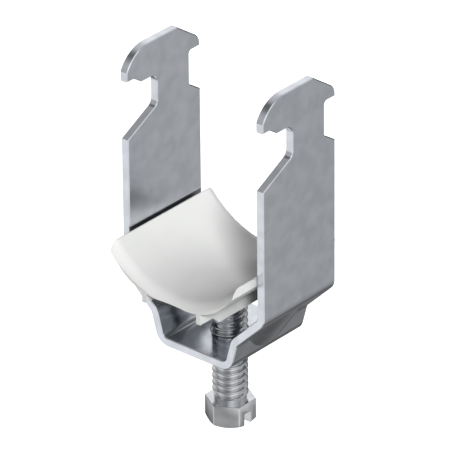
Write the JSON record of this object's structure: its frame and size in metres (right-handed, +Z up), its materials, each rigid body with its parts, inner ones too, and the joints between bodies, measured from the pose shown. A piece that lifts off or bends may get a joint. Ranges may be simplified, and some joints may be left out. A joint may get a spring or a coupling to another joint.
{
  "type": "cable clamp",
  "caption": "Bent steel bow with hooked legs for a slotted rail; a screw through its base lifts a plastic trough that presses the cable to the rail.",
  "frame": {"origin": "on the screw's axis, level with the undersides of the two front hooks, which seat on the rail's lip", "axes": "+Z up along the legs towards the rail, X from leg to leg, Y across the strip with the long front hooks at -Y"},
  "size_m": [0.04, 0.0348, 0.0885],
  "materials": {
    "galvanised_sheet": "hot-dip galvanised sheet, satin with faint spangle",
    "galvanised_screw": "satin galvanised",
    "trough_plastic": "off-white moulded plastic, soft sheen"
  },
  "bodies": {
    "bow": {"clamp_bow": "galvanised_sheet"},
    "trough": {"pressure_trough": "trough_plastic"},
    "screw": {"clamping_screw": "galvanised_screw"}
  },
  "joints": [
    {"name": "trough_lift", "type": "slide", "parent": "bow", "child": "trough", "axis": [0, 0, 1], "range_m": [-0.0081, 0.01494]},
    {"name": "screw_turn", "type": "hinge", "parent": "trough", "child": "screw", "pos_m": [0, 0, -0.0596], "axis": [0, 0, 1], "range_deg": [-1800, 3360]}
  ],
  "couplings": [
    {"joint": "trough_lift", "follows": "screw_turn", "m_per_rad": 0.00025465}
  ]
}
